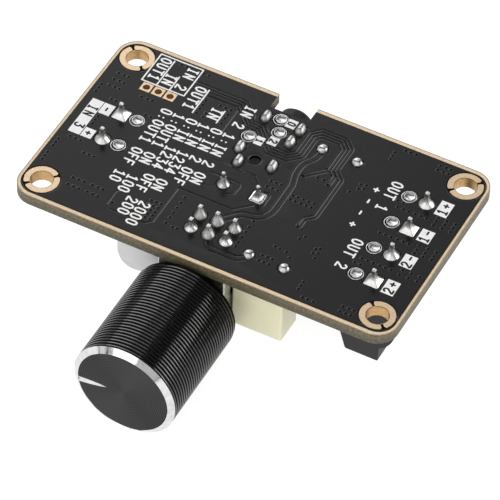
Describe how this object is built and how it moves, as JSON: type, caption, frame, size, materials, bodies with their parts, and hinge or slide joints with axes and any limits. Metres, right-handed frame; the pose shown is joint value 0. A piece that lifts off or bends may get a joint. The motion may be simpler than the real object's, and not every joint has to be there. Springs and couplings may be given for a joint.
{
  "type": "audio amplifier board",
  "caption": "Stereo audio amplifier circuit board, solder side up, with a turned volume knob in front, an audio socket at the rear and screw terminals under both ends.",
  "frame": {"origin": "centre of the four mounting holes, on the solder face of the board", "axes": "+Z out of the solder face, which faces up as in the picture; +X to the output terminals, +Y to the audio socket, so the knob points along -Y"},
  "size_m": [0.0544, 0.0497, 0.0171],
  "materials": {
    "board_black": "satin black solder mask on olive glass-fibre laminate",
    "gold_plating": "gold plated copper, satin",
    "solder": "bright tin solder",
    "tinned_metal": "tinned copper and brass, satin",
    "terminal_grey": "dark grey moulded plastic",
    "zinc_steel": "zinc plated steel",
    "nickel_steel": "nickel plated sheet steel",
    "black_plastic": "black moulded plastic",
    "phenolic": "brown phenolic track board",
    "black_anodised": "black anodised, fine turned rings, bright cut chamfer",
    "cream_plastic": "cream moulded box",
    "sleeve_plastic": "shrunk plastic sleeve",
    "black_rubber": "black rubber bung",
    "bare_aluminium": "pale satin aluminium",
    "chip_epoxy": "black moulded epoxy",
    "resistor_black": "black glazed film on ceramic",
    "ceramic_tan": "tan ceramic"
  },
  "bodies": {
    "board": {"circuit_board": "board_black", "mounting_rings": "gold_plating", "header_pads": "gold_plating", "pot_frame": "nickel_steel", "pot_bushing": "nickel_steel", "pot_front_housing": "black_plastic", "pot_middle_housing": "black_plastic", "pot_cover": "black_plastic", "pot_front_wafer": "phenolic", "pot_rear_wafer": "phenolic", "pot_front_legs": "tinned_metal", "pot_rear_legs": "tinned_metal", "jack_housing": "black_plastic", "jack_sleeve_contact": "tinned_metal", "jack_ring_spring": "tinned_metal", "jack_ring_switch": "tinned_metal", "jack_tip_spring": "tinned_metal", "jack_tip_switch": "tinned_metal", "film_capacitor_rear": "cream_plastic", "film_capacitor_front": "cream_plastic", "film_capacitor_leads": "tinned_metal", "radial_capacitor_can": "sleeve_plastic", "radial_capacitor_bung": "black_rubber", "radial_capacitor_leads": "tinned_metal", "chip_capacitor_can": "bare_aluminium", "chip_capacitor_base": "black_plastic", "chip_capacitor_tabs": "tinned_metal", "amplifier_chip": "chip_epoxy", "amplifier_chip_legs": "tinned_metal", "chip_resistors": "resistor_black", "ceramic_capacitors": "ceramic_tan", "chip_part_ends": "tinned_metal", "terminal_solder": "solder", "pot_solder": "solder", "capacitor_solder": "solder", "jack_solder": "solder", "wire_pads": "solder", "power_terminal_housing": "terminal_grey", "power_terminal_pins": "tinned_metal", "left_terminal_housing": "terminal_grey", "left_terminal_pins": "tinned_metal", "right_terminal_housing": "terminal_grey", "right_terminal_pins": "tinned_metal"},
    "knob": {"knob_shell": "black_anodised", "knob_insert": "black_plastic", "pot_shaft": "bare_aluminium", "pot_front_rotor": "black_plastic", "pot_rear_rotor": "black_plastic"},
    "power_front_screw": {"power_terminal_front_screw": "zinc_steel"},
    "power_front_cage": {"power_terminal_front_cage": "nickel_steel"},
    "power_rear_screw": {"power_terminal_rear_screw": "zinc_steel"},
    "power_rear_cage": {"power_terminal_rear_cage": "nickel_steel"},
    "left_front_screw": {"left_terminal_front_screw": "zinc_steel"},
    "left_front_cage": {"left_terminal_front_cage": "nickel_steel"},
    "left_rear_screw": {"left_terminal_rear_screw": "zinc_steel"},
    "left_rear_cage": {"left_terminal_rear_cage": "nickel_steel"},
    "right_front_screw": {"right_terminal_front_screw": "zinc_steel"},
    "right_front_cage": {"right_terminal_front_cage": "nickel_steel"},
    "right_rear_screw": {"right_terminal_rear_screw": "zinc_steel"},
    "right_rear_cage": {"right_terminal_rear_cage": "nickel_steel"}
  },
  "joints": [
    {"name": "knob_turn", "type": "hinge", "parent": "board", "child": "knob", "pos_m": [-0.00083, -0.0156, -0.00772], "axis": [0, 1, 0], "range_deg": [-232, 68]},
    {"name": "power_front_screw_turn", "type": "hinge", "parent": "board", "child": "power_front_screw", "pos_m": [-0.02096, -0.00258, -0.01], "axis": [0, 0, 1], "range_deg": [0, 1441]},
    {"name": "power_front_clamp_rise", "type": "slide", "parent": "board", "child": "power_front_cage", "axis": [0, 0, -1], "range_m": [0, 0.0018]},
    {"name": "power_rear_screw_turn", "type": "hinge", "parent": "board", "child": "power_rear_screw", "pos_m": [-0.02096, 0.0025, -0.01], "axis": [0, 0, 1], "range_deg": [0, 1441]},
    {"name": "power_rear_clamp_rise", "type": "slide", "parent": "board", "child": "power_rear_cage", "axis": [0, 0, -1], "range_m": [0, 0.0018]},
    {"name": "left_front_screw_turn", "type": "hinge", "parent": "board", "child": "left_front_screw", "pos_m": [0.02119, -0.00777, -0.01], "axis": [0, 0, 1], "range_deg": [0, 1441]},
    {"name": "left_front_clamp_rise", "type": "slide", "parent": "board", "child": "left_front_cage", "axis": [0, 0, -1], "range_m": [0, 0.0018]},
    {"name": "left_rear_screw_turn", "type": "hinge", "parent": "board", "child": "left_rear_screw", "pos_m": [0.02119, -0.00268, -0.01], "axis": [0, 0, 1], "range_deg": [0, 1441]},
    {"name": "left_rear_clamp_rise", "type": "slide", "parent": "board", "child": "left_rear_cage", "axis": [0, 0, -1], "range_m": [0, 0.0018]},
    {"name": "right_front_screw_turn", "type": "hinge", "parent": "board", "child": "right_front_screw", "pos_m": [0.02119, 0.00239, -0.01], "axis": [0, 0, 1], "range_deg": [0, 1441]},
    {"name": "right_front_clamp_rise", "type": "slide", "parent": "board", "child": "right_front_cage", "axis": [0, 0, -1], "range_m": [0, 0.0018]},
    {"name": "right_rear_screw_turn", "type": "hinge", "parent": "board", "child": "right_rear_screw", "pos_m": [0.02119, 0.00747, -0.01], "axis": [0, 0, 1], "range_deg": [0, 1441]},
    {"name": "right_rear_clamp_rise", "type": "slide", "parent": "board", "child": "right_rear_cage", "axis": [0, 0, -1], "range_m": [0, 0.0018]}
  ],
  "couplings": [
    {"joint": "power_front_screw_turn", "follows": "power_front_clamp_rise", "rad_per_m": 13963},
    {"joint": "power_rear_screw_turn", "follows": "power_rear_clamp_rise", "rad_per_m": 13963},
    {"joint": "left_front_screw_turn", "follows": "left_front_clamp_rise", "rad_per_m": 13963},
    {"joint": "left_rear_screw_turn", "follows": "left_rear_clamp_rise", "rad_per_m": 13963},
    {"joint": "right_front_screw_turn", "follows": "right_front_clamp_rise", "rad_per_m": 13963},
    {"joint": "right_rear_screw_turn", "follows": "right_rear_clamp_rise", "rad_per_m": 13963}
  ]
}
